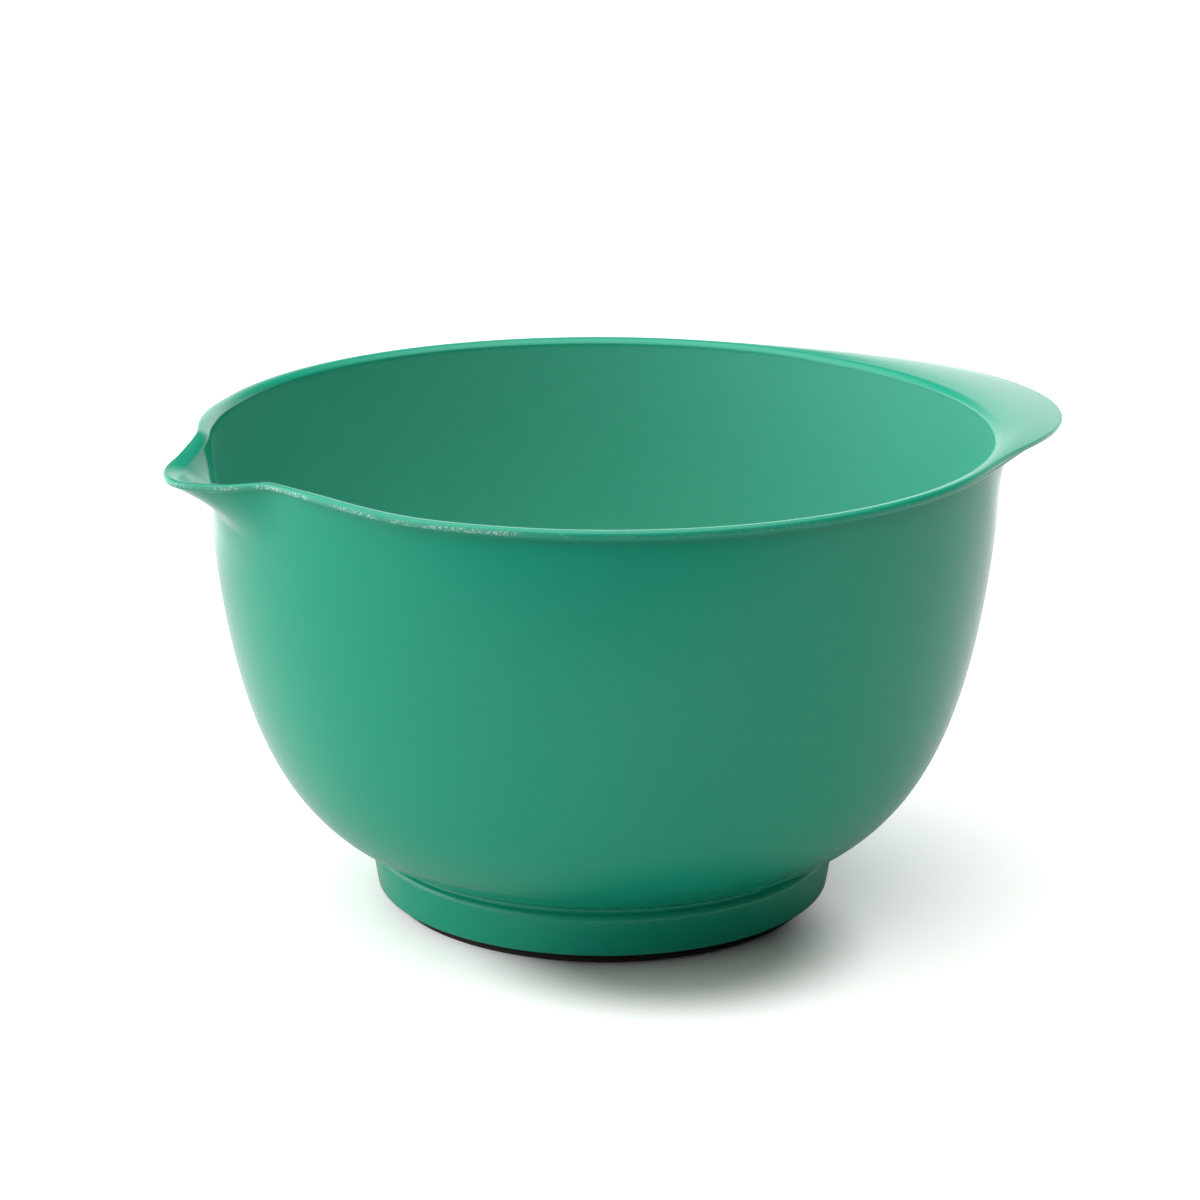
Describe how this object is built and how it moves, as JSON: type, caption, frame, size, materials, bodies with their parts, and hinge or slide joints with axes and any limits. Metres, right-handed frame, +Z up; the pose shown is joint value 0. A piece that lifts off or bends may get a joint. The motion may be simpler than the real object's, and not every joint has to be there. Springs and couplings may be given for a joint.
{
  "type": "mixing bowl",
  "caption": "Deep round melamine mixing bowl with a pouring spout, a crescent thumb handle and a rubber non-slip ring under its foot.",
  "frame": {"origin": "the bowl's axis at the height of the table it stands on, level with the non-slip ring's lower face", "axes": "+Z up along the bowl's axis, +X from the axis towards the middle of the thumb handle, so that the spout points along -X"},
  "size_m": [0.2842, 0.243, 0.147],
  "materials": {
    "green_melamine": "high gloss moulded melamine, with a fine trimmed line around the rim",
    "ring_rubber": "matt dark brown rubber"
  },
  "bodies": {
    "ring": {"non_slip_ring": "ring_rubber"},
    "bowl": {"bowl": "green_melamine"}
  },
  "joints": [
    {"name": "bowl_lift_off", "type": "slide", "parent": "ring", "child": "bowl", "axis": [0, 0, 1], "range_m": [0, 0.02]}
  ]
}
